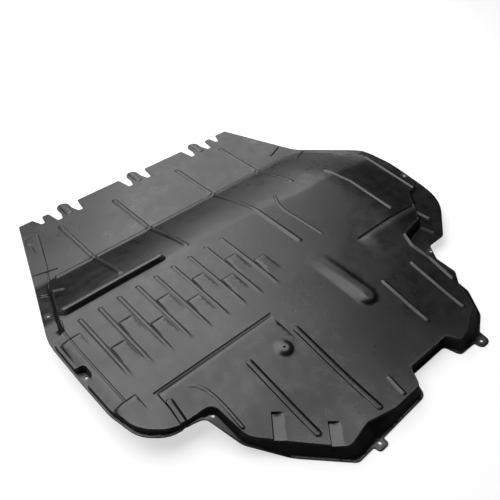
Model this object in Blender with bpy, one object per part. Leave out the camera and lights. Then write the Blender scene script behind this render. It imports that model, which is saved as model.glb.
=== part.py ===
"""Moulded splash shield that closes the bay below a car's engine, as one thin plastic sheet.

Metres, +Z up. +Y is the slotted front edge, the raised middle faces up, and the origin is at
the middle of the bounding box, on the ground. The shape is a plan outline with a height for
every point of it. The sheet then gets its wall on the hollow side.
"""

import math

import bmesh
import bpy
import numpy as np
from mathutils import Vector
from mathutils.geometry import delaunay_2d_cdt

MM = 0.001

# The sheet.
WALL = 2.6
GRID = 33.0
ARC_STEP = math.radians(24)

# Heights of the upper face above the ground.
RIM = 5.0
PLATEAU = 66.0
RIDGE_HEIGHT = 14.0
REAR_FLOOR = 33.0
FLANGE_LEFT = 38.0
FLANGE_RIGHT = 42.0

# Places along Y.
FRONT_EDGE = 500.0
RIDGE_Y = 262.0
RISE_LEFT = 170.0
RISE_RIGHT = 195.0
PLATEAU_REAR = -140.0
REAR_EDGE = -508.0
REAR_FALL = 340.0

# Places along X.
LEFT_EDGE = -516.0
RIGHT_EDGE = 512.0
LEFT_CREASE = -484.0
LEFT_FALL = 9.0
RIGHT_CREASE = 280.0
RIGHT_FALL_RUN = 200.0
RIGHT_FALL = 22.0
WALL_RUN = 9.0
WALL_INSET = 5.0

# The front edge is the same on both sides of its own middle line.
FRONT_MIDDLE = -34.0
TONGUE_PITCH = 219.0
TONGUE_WIDTH = 34.0
TONGUE_REACH = 13.0
SLOT_WIDTH = 27.0
SLOT_FLOOR = 13.0
SLOT_DEPTH = 44.0
TAB_WIDTH = 18.0
TAB_SLOT = 26.0
TAB_SLOT_DEPTH = 30.0
CORNER_WIDTH = 38.0

# Beads, bar, bulge and dome.
LONG_BEADS = (104.0, 266.0)
LONG_BEAD_FRONT = 424.0
LONG_BEAD_WIDTH = 15.0
BEAD_WIDTH = 12.5
BEAD_HEIGHT = 3.0
COMB_COUNT = 9
COMB_PITCH = 47.2
COMB_LEFT = -442.0
COMB_FRONT = 62.0
COMB_REAR = -134.0
COMB_FAR_LINK = -38.0
COMB_NEAR_LINK = 7.0
LINK_RISE = 3.5
LINK_FADE = 62.0
STEP_SIDE = 2.0
REAR_BEAD_WIDTH = 16.0
REAR_BEAD_HEIGHT = 4.0
REAR_BEAD_CROWN = 0.65
BAR_HEIGHT = 15.0
BAR_WIDTH = 32.0
BULGE_HEIGHT = 13.0
BULGE_HALF_WIDTH = 27.0
DOME = (-174.0, -263.0)
DOME_RADIUS = 21.0
DOME_HEIGHT = 8.0

# Fastener places.
HOLE_RADIUS = 3.4
DOME_HOLE_RADIUS = 2.6
EAR_RADIUS = 13.0
LEFT_EAR = (-166.0, -509.0)
RIGHT_EAR = (181.0, -500.0)
BOSS = (-502.0, -54.0)
BOSS_HALF_WIDTH = 24.0
BOSS_DEPTH = 18.0


def smooth(t):
    t = np.clip(t, 0, 1)
    return t * t * (3 - 2 * t)


def ramp(t, ends=0.1):
    """From 0 to 1 at an even slope, rounded over this share of the way at both ends."""
    t = np.clip(t, 0, 1)
    slope = 1 / (1 - ends)
    start = slope * t * t / (2 * ends)
    end = 1 - slope * (1 - t) ** 2 / (2 * ends)
    return np.where(t < ends, start, np.where(t > 1 - ends, end, slope * (t - ends / 2)))


def rounded(corners):
    """A closed polygon of (x, y, radius) corners, with an arc at each corner that has a radius."""
    path = []
    count = len(corners)
    for i, (x, y, radius) in enumerate(corners):
        here = Vector((x, y))
        if radius <= 0:
            path.append(here)
            continue
        back = Vector(corners[i - 1][:2]) - here
        ahead = Vector(corners[(i + 1) % count][:2]) - here
        turn = math.pi - back.angle(ahead)
        reach = min(radius * math.tan(turn / 2), 0.48 * back.length, 0.48 * ahead.length)
        radius = reach / math.tan(turn / 2)
        centre = here + (back.normalized() + ahead.normalized()).normalized() * math.hypot(radius, reach)
        start = here + back.normalized() * reach - centre
        steps = max(1, math.ceil(turn / ARC_STEP))
        way = math.copysign(turn, ahead.x * back.y - ahead.y * back.x)
        for k in range(steps + 1):
            cos, sin = math.cos(way * k / steps), math.sin(way * k / steps)
            path.append(centre + Vector((start.x * cos - start.y * sin, start.x * sin + start.y * cos)))
    return path


def circle(centre, radius, count=12):
    turns = [math.tau * k / count for k in range(count)]
    return [Vector((centre[0] + radius * math.cos(t), centre[1] + radius * math.sin(t))) for t in turns]


def divided(line, closed):
    """The same line with points added, so that long runs follow the curve of the sheet."""
    fine = []
    ends = line[1:] + line[:1] if closed else line[1:]
    for start, end in zip(line, ends):
        parts = max(1, math.ceil((end - start).length / GRID))
        fine += [start.lerp(end, k / parts) for k in range(parts)]
    return fine if closed else fine + [line[-1]]


def closed_runs(line):
    """The (start, run) of each side of a closed line."""
    starts = np.array([tuple(p) for p in line])
    return zip(starts, np.roll(starts, -1, axis=0) - starts)


def gap_to(runs, places):
    """How far each place is from a line of (start, run) sides."""
    best = np.full(len(places), 1e9)
    for start, run in runs:
        away = places - start
        along = np.clip(away @ run / (run @ run), 0, 1)
        best = np.minimum(best, np.hypot(*(away - along[:, None] * run).T))
    return best


def inside(line, places):
    """Whether each place lies inside a closed line."""
    found = np.zeros(len(places), bool)
    x, y = places.T
    for start, run in closed_runs(line):
        spans = (start[1] > y) != (start[1] + run[1] > y)
        if run[1]:
            found ^= spans & (x < start[0] + run[0] * (y - start[1]) / run[1])
    return found


def front_half():
    """Corners of half the front edge, from its middle line outwards, as offsets from that line."""
    tip = FRONT_EDGE + TONGUE_REACH
    low = FRONT_EDGE - SLOT_DEPTH
    root = low + SLOT_DEPTH / 2
    half = TONGUE_WIDTH / 2
    slot = (SLOT_WIDTH - SLOT_FLOOR) / 2
    side = TONGUE_PITCH
    tab = side + half + SLOT_WIDTH
    end_slot = tab + TAB_WIDTH
    return [
        (half, tip, half),
        (half, root, 0),
        (half + slot, low, 4),
        (half + slot + SLOT_FLOOR, low, 4),
        (half + SLOT_WIDTH, FRONT_EDGE, 3),
        (side - half - SLOT_WIDTH, FRONT_EDGE, 3),
        (side - half - slot - SLOT_FLOOR, low, 4),
        (side - half - slot, low, 4),
        (side - half, root, 0),
        (side - half, tip, half),
        (side + half, tip, half),
        (side + half, root, 0),
        (side + half + slot, low, 4),
        (side + half + slot + SLOT_FLOOR, low, 4),
        (tab, FRONT_EDGE - 2, 4),
        (end_slot, FRONT_EDGE - 2, 4),
        (end_slot + 5, FRONT_EDGE - TAB_SLOT_DEPTH, 4),
        (end_slot + 15, FRONT_EDGE - TAB_SLOT_DEPTH, 4),
        (end_slot + TAB_SLOT, FRONT_EDGE, 3),
        (end_slot + TAB_SLOT + CORNER_WIDTH, FRONT_EDGE, 4),
    ]


def outline():
    """The trimmed edge, clockwise seen from above, from the middle of the front edge."""
    half = front_half()
    right_half = [(FRONT_MIDDLE + x, y, r) for x, y, r in half]
    left_half = [(FRONT_MIDDLE - x, y, r) for x, y, r in reversed(half)]
    right_side = [
        (388, RIDGE_Y + 18, 70),
        (RIGHT_EDGE - 4, 112, 130),
        (RIGHT_EDGE, 20, 150),
        (488, -172, 120),
        (380, -258, 20),
        (325, -258, 14),
        (300, -296, 12),
        (299, -350, 14),
        (277, -374, 8),
        (276, -402, 20),
        (243, -458, 30),
        (200, -484, 5),
    ]
    ear = EAR_RADIUS
    x, y = RIGHT_EAR
    right_ear = [(x + ear + 2, y - ear, ear), (x - ear, y - ear, ear), (x - ear - 4, y + 6, 4)]
    cut_out = [(118, -492, 12), (108, -457, 12), (0, -457, 6), (-20, REAR_EDGE + 5, 18)]
    x, y = LEFT_EAR
    left_ear = [
        (x + ear, REAR_EDGE + 1, 3),
        (x + ear, y - ear, ear),
        (x - ear, y - ear, ear),
        (x - ear - 2, REAR_EDGE, 4),
    ]
    left_side = [
        (-224, REAR_EDGE - 1, 18),
        (-300, -430, 80),
        (-364, -352, 40),
        (-388, -272, 20),
        (-440, -267, 60),
        (LEFT_EDGE + 3, -246, 62),
        (LEFT_EDGE, -50, 60),
        (LEFT_EDGE, 73, 150),
    ]
    return rounded(right_half + right_side + right_ear + cut_out + left_ear + left_side + left_half)


def shoulder():
    """The upper edge of the side walls, clockwise seen from above, from the left end of the ridge."""
    inset = LEFT_EDGE + WALL_INSET
    boss_near = BOSS[1] - BOSS_HALF_WIDTH
    boss_far = BOSS[1] + BOSS_HALF_WIDTH
    ahead = [(-416, RIDGE_Y + 6, 0), (348, RIDGE_Y + 6, 0)]
    right = [
        (388, 226, 30),
        (RIGHT_EDGE - 28, 92, 30),
        (RIGHT_EDGE - 44, -100, 6),
        (438, -104, 10),
        (352, -196, 16),
        (276, -212, 14),
        (262, -246, 20),
        (264, -300, 20),
        (256, -372, 30),
        (225, -440, 30),
    ]
    rear = [
        (160, -472, 12),
        (128, -478, 10),
        (113, -451, 10),
        (-6, -451, 8),
        (-27, REAR_EDGE + 19, 18),
        (-105, REAR_EDGE + 19, 40),
        (-166, -474, 30),
        (-226, REAR_EDGE + 22, 22),
    ]
    left = [
        (-352, -354, 40),
        (-360, -266, 22),
        (-440, -262, 40),
        (inset + 4, -240, 56),
        (inset, -150, 40),
        (inset, boss_near, 3),
        (inset + BOSS_DEPTH, boss_near + 8, 12),
        (inset + BOSS_DEPTH, boss_far - 8, 12),
        (inset, boss_far, 3),
        (inset, 50, 6),
        (-480, 60, 5),
        (-473, 92, 30),
        (-437, 200, 60),
    ]
    return rounded(ahead + right + rear + left)


def rise_run(x):
    """Length of the rise behind the ridge, which is longer towards the right."""
    return RISE_LEFT + (RISE_RIGHT - RISE_LEFT) * smooth((x - FRONT_MIDDLE) / RIGHT_CREASE)


def panel(places):
    """Height of the broad surface: front panel, rise, plateau, fall to the rear, and its soft sides."""
    x, y = places.T
    front = RIM + (RIDGE_HEIGHT - RIM) * np.clip((FRONT_EDGE - y) / (FRONT_EDGE - RIDGE_Y), 0, 1)
    height = RIDGE_HEIGHT + (PLATEAU - RIDGE_HEIGHT) * ramp((RIDGE_Y - y) / rise_run(x))
    height -= (PLATEAU - REAR_FLOOR) * smooth((PLATEAU_REAR - y) / REAR_FALL)
    share = np.clip((height - RIDGE_HEIGHT) / (PLATEAU - RIDGE_HEIGHT - 8), 0, 1)
    height -= share * RIGHT_FALL * smooth((x - RIGHT_CREASE) / RIGHT_FALL_RUN)
    height -= share * LEFT_FALL * smooth((LEFT_CREASE - x) / (LEFT_CREASE - LEFT_EDGE))
    return np.where(y >= RIDGE_Y, front, height)


def rim(places):
    """Height of the flange and of the trimmed edge outside the walls."""
    x, y = places.T
    left = [(-420, RIM), (-300, FLANGE_LEFT - 2), (60, FLANGE_LEFT), (RIDGE_Y, RIDGE_HEIGHT)]
    right = [(-470, RIM), (-412, 14), (-343, 24), (-256, 28), (-100, FLANGE_RIGHT - 2)]
    right += [(-20, FLANGE_RIGHT), (110, FLANGE_RIGHT - 2), (RIDGE_Y, RIDGE_HEIGHT)]
    flange = np.where(x < 0, np.interp(y, *zip(*left)), np.interp(y, *zip(*right)))
    return np.where(y >= RIDGE_Y, panel(places), flange)


class Bead:
    """A raised line along a path, with round ends: its foot is wider than its crown."""

    def __init__(self, path, width, height, crown=0.35, start_height=None):
        self.path = [Vector(p) for p in path]
        self.foot = width / 2
        self.crown = self.foot * crown
        self.heights = (height if start_height is None else start_height, height)

    def add(self, places):
        best = np.full(len(places), 1e9)
        share = np.zeros(len(places))
        lengths = [(b - a).length for a, b in zip(self.path, self.path[1:])]
        before = 0.0
        for a, b, length in zip(self.path, self.path[1:], lengths):
            start, run = np.array(a), np.array(b - a)
            along = np.clip((places - start) @ run / (run @ run), 0, 1)
            gap = np.hypot(*(places - start - along[:, None] * run).T)
            share = np.where(gap < best, (before + along * length) / sum(lengths), share)
            best = np.minimum(best, gap)
            before += length
        height = self.heights[0] + (self.heights[1] - self.heights[0]) * share
        return height * np.clip((self.foot - best) / (self.foot - self.crown), 0, 1)

    def around(self, radius):
        """The closed line at this distance from the path."""
        near, far = [], []
        last = len(self.path) - 1
        for i, p in enumerate(self.path):
            run = (self.path[min(i + 1, last)] - self.path[max(i - 1, 0)]).normalized()
            across = Vector((-run.y, run.x)) * radius
            near.append(p + across)
            far.append(p - across)
        caps = []
        for end, before in ((self.path[-1], self.path[-2]), (self.path[0], self.path[1])):
            way = end - before
            turns = [math.atan2(way.y, way.x) + math.radians(a) for a in (50, 0, -50)]
            caps.append([end + Vector((math.cos(t), math.sin(t))) * radius for t in turns])
        return near + caps[0] + far[::-1] + caps[1]

    def loops(self):
        return [self.around(self.foot), self.around(self.crown)]


class Dome:
    """A round raised seat."""

    def __init__(self, centre, radius, height, crown=0.42):
        self.centre, self.radius, self.height, self.crown = centre, radius, height, crown * radius

    def add(self, places):
        gap = np.hypot(*(places - np.array(self.centre)).T)
        return self.height * smooth((self.radius - gap) / (self.radius - self.crown))

    def loops(self):
        middle = (self.radius + self.crown) / 2
        return [circle(self.centre, r, 16) for r in (self.radius, middle, self.crown)]


class Step:
    """A land whose front edge stands up from the panel and which fades out towards the rear."""

    def __init__(self, left, right, front, rise, fade, flank=7.0, left_side=STEP_SIDE):
        self.left, self.right, self.front = left, right, front
        self.rise, self.fade, self.flank, self.left_side = rise, fade, flank, left_side

    def add(self, places):
        x, y = places.T
        from_side = np.minimum((x - self.left) / self.left_side, (self.right - x) / STEP_SIDE)
        edge = np.clip(np.minimum(from_side, (self.front - y) / self.flank), 0, 1)
        return self.rise * edge * np.clip(1 - (self.front - y) / self.fade, 0, 1)

    def loops(self):
        found = []
        for share in (0, 1):
            left, right = self.left + self.left_side * share, self.right - STEP_SIDE * share
            front, rear = self.front - self.flank * share, self.front - self.fade + STEP_SIDE * share
            found.append([Vector(p) for p in ((left, front), (right, front), (right, rear), (left, rear))])
        return found


def long_beads():
    """Beads that run back from the front panel over the ridge, in pairs about its middle line."""
    inner, outer = LONG_BEADS
    rear_ends = {-outer: 136, -inner: 104, inner: -62, outer: 128}
    found = []
    for offset, rear in rear_ends.items():
        x = FRONT_MIDDLE + offset
        found.append(Bead([(x, LONG_BEAD_FRONT), (x, RIDGE_Y), (x, rear)], LONG_BEAD_WIDTH, BEAD_HEIGHT))
    return found


def comb():
    """The nine parallel beads, and the lands that stand up between them at two places in turn."""
    found = []
    for i in range(COMB_COUNT):
        x = COMB_LEFT + COMB_PITCH * i
        found.append(Bead([(x, COMB_FRONT), (x, COMB_REAR)], BEAD_WIDTH, BEAD_HEIGHT))
        link = COMB_NEAR_LINK if i % 2 else COMB_FAR_LINK
        side = BEAD_WIDTH / 2
        found.append(Step(x + side, x + COMB_PITCH - side, link, LINK_RISE, LINK_FADE))
    return found


def cross_forms():
    """The crest on the ridge, the raised bar behind it and the broad lands that face the front."""
    return [
        Bead([(-398, RIDGE_Y), (346, RIDGE_Y)], 10, 1.6, start_height=5.0),
        Bead([(-452, 108), (-212, 108)], BAR_WIDTH, BAR_HEIGHT, crown=0.14),
        Step(-429, -139, -186, 4.0, 90),
        Step(172, 390, -155, 6.0, 80, flank=8.0, left_side=26.0),
        Step(-506, -458, -160, 4.0, 60),
        Step(-506, -460, 36, 4.0, 70),
    ]


def rear_forms():
    """The beads, bulge and dome of the rear half."""
    section = (REAR_BEAD_WIDTH, REAR_BEAD_HEIGHT, REAR_BEAD_CROWN)
    bulge = 2 * BULGE_HALF_WIDTH
    return [
        Bead([(-250, -245), (-251, -430)], *section),
        Bead([(-122, -245), (-124, -468)], *section),
        Bead([(-420, -216), (-423, -249)], *section),
        Bead([(-366, -214), (-352, -240), (-347, -280), (-347, -330)], 9, 2.5),
        Bead([(57, -120), (57, -274)], bulge, BULGE_HEIGHT, crown=0.45, start_height=1.0),
        Bead([(148, 104), (130, 75), (123, 40), (126, -10), (128, -80)], 9, 1.2),
        Bead([(334, 100), (342, 16), (334, -126)], BEAD_WIDTH, BEAD_HEIGHT),
        Bead([(217, -282), (209, -428)], 10, 4.0),
        Bead([(121, -276), (116, -402)], 10, 4.0),
        Bead([(-60, -440), (-66, -480)], 10, 4.0),
        Dome(DOME, DOME_RADIUS, DOME_HEIGHT),
    ]


def flange_ribs():
    """Short ribs that stiffen the flange on both sides."""
    return [
        Bead([(-432, 302), (-384, 300)], 8, 3.5),
        Bead([(-458, 218), (-446, 216)], 8, 3.5),
        Bead([(362, 315), (318, 298)], 8, 2.5),
        Bead([(RIGHT_EDGE - 32, 80), (RIGHT_EDGE - 48, -94)], 8, 3.5),
        Bead([(396, -168), (400, -197)], 8, 3.0),
        Bead([(355, -213), (369, -239)], 8, 3.0),
        Bead([(-370, 444), (-394, 438), (-402, 418), (-392, 402), (-396, 378)], 6, 1.8),
    ]


def holes():
    """The edge of each fastener hole."""
    places = [(-478, 147), BOSS, (-372, -280), (335, 392), (RIGHT_EDGE - 18, -48), (310, -272)]
    found = [circle(centre, HOLE_RADIUS) for centre in places + [LEFT_EAR, RIGHT_EAR]]
    return found + [circle(DOME, DOME_HOLE_RADIUS)]


class Surface:
    """The upper face of the shield: its trimmed edge, its walls and all its forms."""

    def __init__(self):
        self.edge = outline()
        self.top = shoulder()
        self.forms = long_beads() + comb() + cross_forms() + rear_forms() + flange_ribs()
        self.holes = holes()

    def height(self, places):
        base = panel(places)
        away = gap_to(closed_runs(self.top), places)
        run = np.minimum(WALL_RUN, away + gap_to(closed_runs(self.edge), places))
        walled = (places[:, 1] < RIDGE_Y + 6) & ~inside(self.top, places)
        down = np.clip(away / np.maximum(run, 1e-6), 0, 1)
        base += np.where(walled, (rim(places) - base) * down, 0)
        return base + sum(form.add(places) for form in self.forms)

    def wall_foot(self):
        """Open lines along the foot of the walls, where the flange is wide enough to have one."""
        count = len(self.top)
        foot = []
        for i, p in enumerate(self.top):
            run = (self.top[(i + 1) % count] - self.top[i - 1]).normalized()
            foot.append(p + Vector((-run.y, run.x)) * WALL_RUN)
        places = np.array([tuple(p) for p in foot])
        clear = inside(self.edge, places) & (gap_to(closed_runs(self.edge), places) > 3)
        clear &= (places[:, 1] < RIDGE_Y) & (gap_to(closed_runs(self.top), places) > WALL_RUN - 0.5)
        lines = [[]]
        for p, kept in zip(foot, clear):
            if kept:
                lines[-1].append(p)
            else:
                lines.append([])
        return [line for line in lines if len(line) > 1]

    def rise_top(self):
        """The open line along the top of the rise, from wall to wall."""
        across = np.arange(LEFT_CREASE + GRID, RIGHT_EDGE - 2 * GRID, GRID)
        return [Vector((x, RIDGE_Y - 0.95 * rise_run(x))) for x in across]

    def lines(self):
        """Every closed line that the mesh is cut along."""
        return [self.edge, self.top] + self.holes + [loop for form in self.forms for loop in form.loops()]

    def grid(self):
        """Points over the whole plan, where no line of a form is near."""
        columns = np.arange(LEFT_EDGE + GRID / 2, RIGHT_EDGE, GRID)
        rows = np.arange(REAR_EDGE + GRID / 2, FRONT_EDGE, GRID * 0.8)
        places = np.array([(x, y) for x in columns for y in rows])
        places = places[inside(self.edge, places)]
        near = np.full(len(places), 1e9)
        for line in self.lines():
            near = np.minimum(near, gap_to(closed_runs(line), places))
        return [Vector(p) for p in places[near > GRID / 5]]


def plan_mesh(surface):
    """Points and triangles of the plan, cut along every line that the shape needs."""
    points, edges = [], []
    lines = [(line, True) for line in surface.lines()]
    lines += [(line, False) for line in surface.wall_foot() + [surface.rise_top()]]
    for line, closed in lines:
        line = divided(line, closed)
        first = len(points)
        points += line
        edges += [(first + i, first + i + 1) for i in range(len(line) - 1)]
        if closed:
            edges.append((first + len(line) - 1, first))
    points += surface.grid()
    found, _, faces, *_ = delaunay_2d_cdt(points, edges, [], 0, 0.01, False)
    places = np.array([tuple(p) for p in found])
    faces = np.array(faces)
    middles = places[faces].mean(axis=1)
    kept = inside(surface.edge, middles)
    for hole in surface.holes:
        kept &= ~inside(hole, middles)
    return places, faces[kept]


def black_plastic():
    material = bpy.data.materials.new("black_polypropylene")
    material.use_nodes = True
    shader = material.node_tree.nodes["Principled BSDF"]
    shader.inputs["Base Color"].default_value = (0.028, 0.027, 0.029, 1)
    shader.inputs["Roughness"].default_value = 0.46
    shader.inputs["Metallic"].default_value = 0.0
    return material


def splash_shield():
    surface = Surface()
    places, faces = plan_mesh(surface)
    shape = bmesh.new()
    corners = [shape.verts.new(p) for p in np.column_stack([places, surface.height(places)]) * MM]
    for face in faces:
        shape.faces.new([corners[i] for i in face])
    bmesh.ops.delete(shape, geom=[v for v in shape.verts if not v.link_faces], context="VERTS")
    bmesh.ops.recalc_face_normals(shape, faces=shape.faces)
    if sum(f.normal.z for f in shape.faces) < 0:
        bmesh.ops.reverse_faces(shape, faces=shape.faces)
    mesh = bpy.data.meshes.new("splash_shield")
    shape.to_mesh(mesh)
    shape.free()
    mesh.materials.append(black_plastic())
    mesh.shade_smooth()
    mesh.set_sharp_from_angle(angle=math.radians(35))
    shield = bpy.data.objects.new("splash_shield", mesh)
    bpy.context.scene.collection.objects.link(shield)
    wall = shield.modifiers.new("wall", "SOLIDIFY")
    wall.thickness = WALL * MM
    wall.offset = -1
    return shield


def stand_on_ground(shield):
    """Puts the origin at the middle of the bounding box, on the ground."""
    bpy.context.view_layer.update()
    solid = shield.evaluated_get(bpy.context.evaluated_depsgraph_get()).to_mesh()
    places = np.array([v.co[:] for v in solid.vertices])
    low, high = places.min(0), places.max(0)
    shift = Vector((-(low[0] + high[0]) / 2, -(low[1] + high[1]) / 2, -low[2]))
    for vertex in shield.data.vertices:
        vertex.co += shift
    shield.data.update()


def main():
    for thing in list(bpy.data.objects):
        bpy.data.objects.remove(thing)
    stand_on_ground(splash_shield())


main()
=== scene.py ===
"""Engine splash shield: the moulded sheet in fine detail, its black plastic and a plain stage.

The drawing functions work in millimetres in the plan of the moulding, where +Y is the slotted
front edge and +Z the raised side. The finished mesh is in metres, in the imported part's frame.
"""

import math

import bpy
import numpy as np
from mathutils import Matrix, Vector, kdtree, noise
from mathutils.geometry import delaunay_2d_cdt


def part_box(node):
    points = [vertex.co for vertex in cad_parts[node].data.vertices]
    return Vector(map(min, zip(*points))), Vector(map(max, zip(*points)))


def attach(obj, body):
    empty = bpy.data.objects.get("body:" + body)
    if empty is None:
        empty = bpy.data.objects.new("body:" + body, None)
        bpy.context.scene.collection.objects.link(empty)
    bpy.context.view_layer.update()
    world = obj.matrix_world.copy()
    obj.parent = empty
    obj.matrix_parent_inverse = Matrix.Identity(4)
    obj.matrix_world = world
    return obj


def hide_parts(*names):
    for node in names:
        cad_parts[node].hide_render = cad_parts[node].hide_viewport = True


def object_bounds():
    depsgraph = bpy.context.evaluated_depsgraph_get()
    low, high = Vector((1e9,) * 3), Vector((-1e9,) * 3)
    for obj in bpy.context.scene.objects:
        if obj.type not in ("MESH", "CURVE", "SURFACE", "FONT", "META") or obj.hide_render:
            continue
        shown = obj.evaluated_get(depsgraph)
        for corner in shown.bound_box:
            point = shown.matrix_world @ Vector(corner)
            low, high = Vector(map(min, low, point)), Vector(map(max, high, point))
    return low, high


bl_info = {
    "name": "Engine splash shield",
    "version": (1, 0, 0),
    "blender": (4, 5, 0),
    "location": "View3D > Sidebar > Splash Shield",
    "description": "Makes a moulded undertray with beads, lands, side walls and a slotted front edge",
    "category": "Object",
}

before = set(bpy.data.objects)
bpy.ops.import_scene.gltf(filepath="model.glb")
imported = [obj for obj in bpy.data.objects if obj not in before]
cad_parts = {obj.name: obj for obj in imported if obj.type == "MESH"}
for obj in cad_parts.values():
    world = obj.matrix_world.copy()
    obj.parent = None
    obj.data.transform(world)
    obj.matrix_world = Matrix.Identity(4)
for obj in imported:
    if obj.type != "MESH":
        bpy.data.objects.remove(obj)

CAD_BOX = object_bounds()
NODE = "splash_shield"
BODY = "root"
MM = 0.001

# Heights of the upper face above the foot of the walls, and how it falls away.
RIM = 5.0
PLATEAU = 66.0
RIDGE_HEIGHT = 14.0
REAR_FLOOR = 33.0
FLANGE_LEFT = 46.0
FLANGE_RIGHT = 42.0
RISE_LEFT = 170.0
RISE_RIGHT = 195.0
RISE_POWER = 1.3
REAR_FALL = 340.0
LEFT_FALL = 9.0
RIGHT_FALL = 22.0
RIGHT_FALL_RUN = 200.0
WALL_RUN = 9.0
REAR_WALL_RUN = 24.0
LEFT_WALL_RUN = 4.0
LIP = 4.5
WALL_INSET = 5.0

# The soft sides fall in full from this far below the plateau, and the walls start this far ahead
# of the ridge. Behind its start a wall's run grows to that of the rear wall, over the ease, and in
# a band along the left edge it is that of the left wall.
SIDE_FALL_MARGIN = 8.0
RIDGE_MARGIN = 6.0
REAR_WALL_START = -330.0
REAR_WALL_EASE = 50.0
LEFT_WALL_BAND = 30.0

# Places along Y and X.
FRONT_EDGE = 500.0
RIDGE_Y = 262.0
PLATEAU_REAR = -140.0
REAR_EDGE = -508.0
LEFT_EDGE = -516.0
RIGHT_EDGE = 512.0
LEFT_CREASE = -484.0
RIGHT_CREASE = 280.0

# The front edge, which is the same on both sides of its own middle line.
FRONT_MIDDLE = -34.0
TONGUE_PITCH = 219.0
TONGUE_WIDTH = 34.0
TONGUE_REACH = 13.0
SLOT_WIDTH = 27.0
SLOT_FLOOR = 13.0
SLOT_DEPTH = 44.0
TAB_WIDTH = 18.0
TAB_SLOT = 26.0
TAB_SLOT_DEPTH = 30.0
CORNER_WIDTH = 38.0

# The long beads' distances from the front's middle line with the places of their rear ends, and
# the flanks of the rear beads: to the left, to the right and at the end.
LONG_BEADS = {-266: 136, -104: 104, 104: -62, 266: 128}
LONG_BEAD_FRONT = 424
REAR_FLANKS = (2.0, 6.5, 4.0)

# Fastener places.
HOLE_RADIUS = 3.4
DOME = (-174.0, -263.0)
DOME_HOLE_RADIUS = 2.6
EAR_RADIUS = 13.0
LEFT_EAR = (-166.0, -509.0)
RIGHT_EAR = (181.0, -500.0)
BOSS = (-502.0, -54.0)
BOSS_HALF_WIDTH = 24.0
BOSS_DEPTH = 18.0

# How finely rounded forms are drawn, from which half width a bead gets more lines, how far
# outside a form the flat sheet starts and from which angle an edge is sharp.
ARC_STEP = math.radians(9)
CAP_STEPS = 6
HOLE_STEPS = 24
WIDE_FOOT = 12
GUARD = 0.8
SHARP_ANGLE = math.radians(48)

# The share of a flank that is rounded at each end.
WALL_ROUND = 0.12
BEAD_ROUND = 0.2
LAND_ROUND = 0.1
DROP_ROUND = 0.15

# How the mesh is spaced, as shares of its spacing and as distances.
GRID_ROWS = 0.87
GRID_CLEARANCE = 0.42
EDGE_CLEARANCE = 2
LINE_CLEARANCE = 1.2
MERGE_DISTANCE = 0.01
WALL_SHARES = (0.14, 0.28, 0.45, 0.62, 0.78, 0.9, 1.0, 1.3, 1.7, 2.1, 2.5)

# The trimmed edge sinks by a share of its rounding, and its foot by another. On a slope the wall
# gets deeper up to a limit, and the waviness has a length and dies out near the edge.
EDGE_SINK = 0.6
FOOT_SINK = 0.3
DEEPEST_WALL = 1.8
WAVE_LENGTH = 95
WAVE_LAYER = 3.1
WAVE_MARGIN = 4
WAVE_EASE = 20


def number(name, description, default, *limits, **kind):
    """A number among the settings, with its lowest and highest value where it has limits."""
    limits = dict(zip(("min", "max"), limits))
    return bpy.props.FloatProperty(name=name, description=description, default=default, **limits, **kind)


def metres(*values):
    return number(*values, subtype="DISTANCE", unit="LENGTH")


def colour(name, description, default):
    return bpy.props.FloatVectorProperty(
        name=name, description=description, default=default, size=4, min=0.0, max=1.0, subtype="COLOR")


class SheetSettings(bpy.types.PropertyGroup):
    wall: metres("Wall", "Thickness of the moulded sheet", 0.0026, 0.001, 0.006)
    spacing: metres(
        "Mesh spacing", "Distance between the points of the broad surface", 0.0085, 0.004, 0.04)
    line_spacing: metres(
        "Line spacing", "Distance between the points along an edge or a bead", 0.0065, 0.003, 0.04)
    edge_round: metres("Edge round", "How far the trimmed edge is rounded over", 0.0009, 0.0002, 0.002)
    waviness: metres(
        "Waviness", "How far the thin sheet strays from its drawn surface", 0.0005, 0.0, 0.003)
    bead_width: metres("Bead width", "Width of the parallel beads at their foot", 0.0132, 0.004, 0.03)
    long_bead_width: metres(
        "Long bead width", "Width of the long beads at their foot", 0.016, 0.004, 0.03)
    bead_height: metres(
        "Bead height", "Height of the long and the parallel beads", 0.003, 0.0005, 0.01)
    crown: number(
        "Bead crown", "Width of a bead's flat top as a share of its foot", 0.18, 0.05, 0.9, subtype="FACTOR")


class CombSettings(bpy.types.PropertyGroup):
    count: bpy.props.IntProperty(
        name="Beads", description="Number of parallel beads", default=9, min=1, max=30)
    pitch: metres("Pitch", "Distance between the parallel beads", 0.0472, 0.01, 0.2)
    first: metres("First bead", "Place of the leftmost parallel bead", -0.442)
    front: metres("Front ends", "Place of the front ends of the parallel beads", 0.062)
    rear: metres("Rear ends", "Place of the rear ends of the parallel beads", -0.134)
    bead_fade: metres(
        "Bead fade", "Length over which a parallel bead fades out at its rear end", 0.035, 0.001, 0.1)
    far_land: metres(
        "Rear lands", "Front edge of the lands in the first, third and further gaps", -0.038)
    near_land: metres("Front lands", "Front edge of the lands in the gaps between those", 0.007)
    rise: metres("Land rise", "How far the front edge of a land stands up", 0.004, 0.0005, 0.01)
    flank: metres(
        "Land flank", "Length of the slope at the front edge of a land", 0.0085, 0.001, 0.02)
    side: metres("Land side", "Length of the slope at the sides of a land", 0.002, 0.0005, 0.01)
    fade: metres("Land length", "Length over which a land fades into the sheet", 0.062, 0.01, 0.2)


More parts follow.
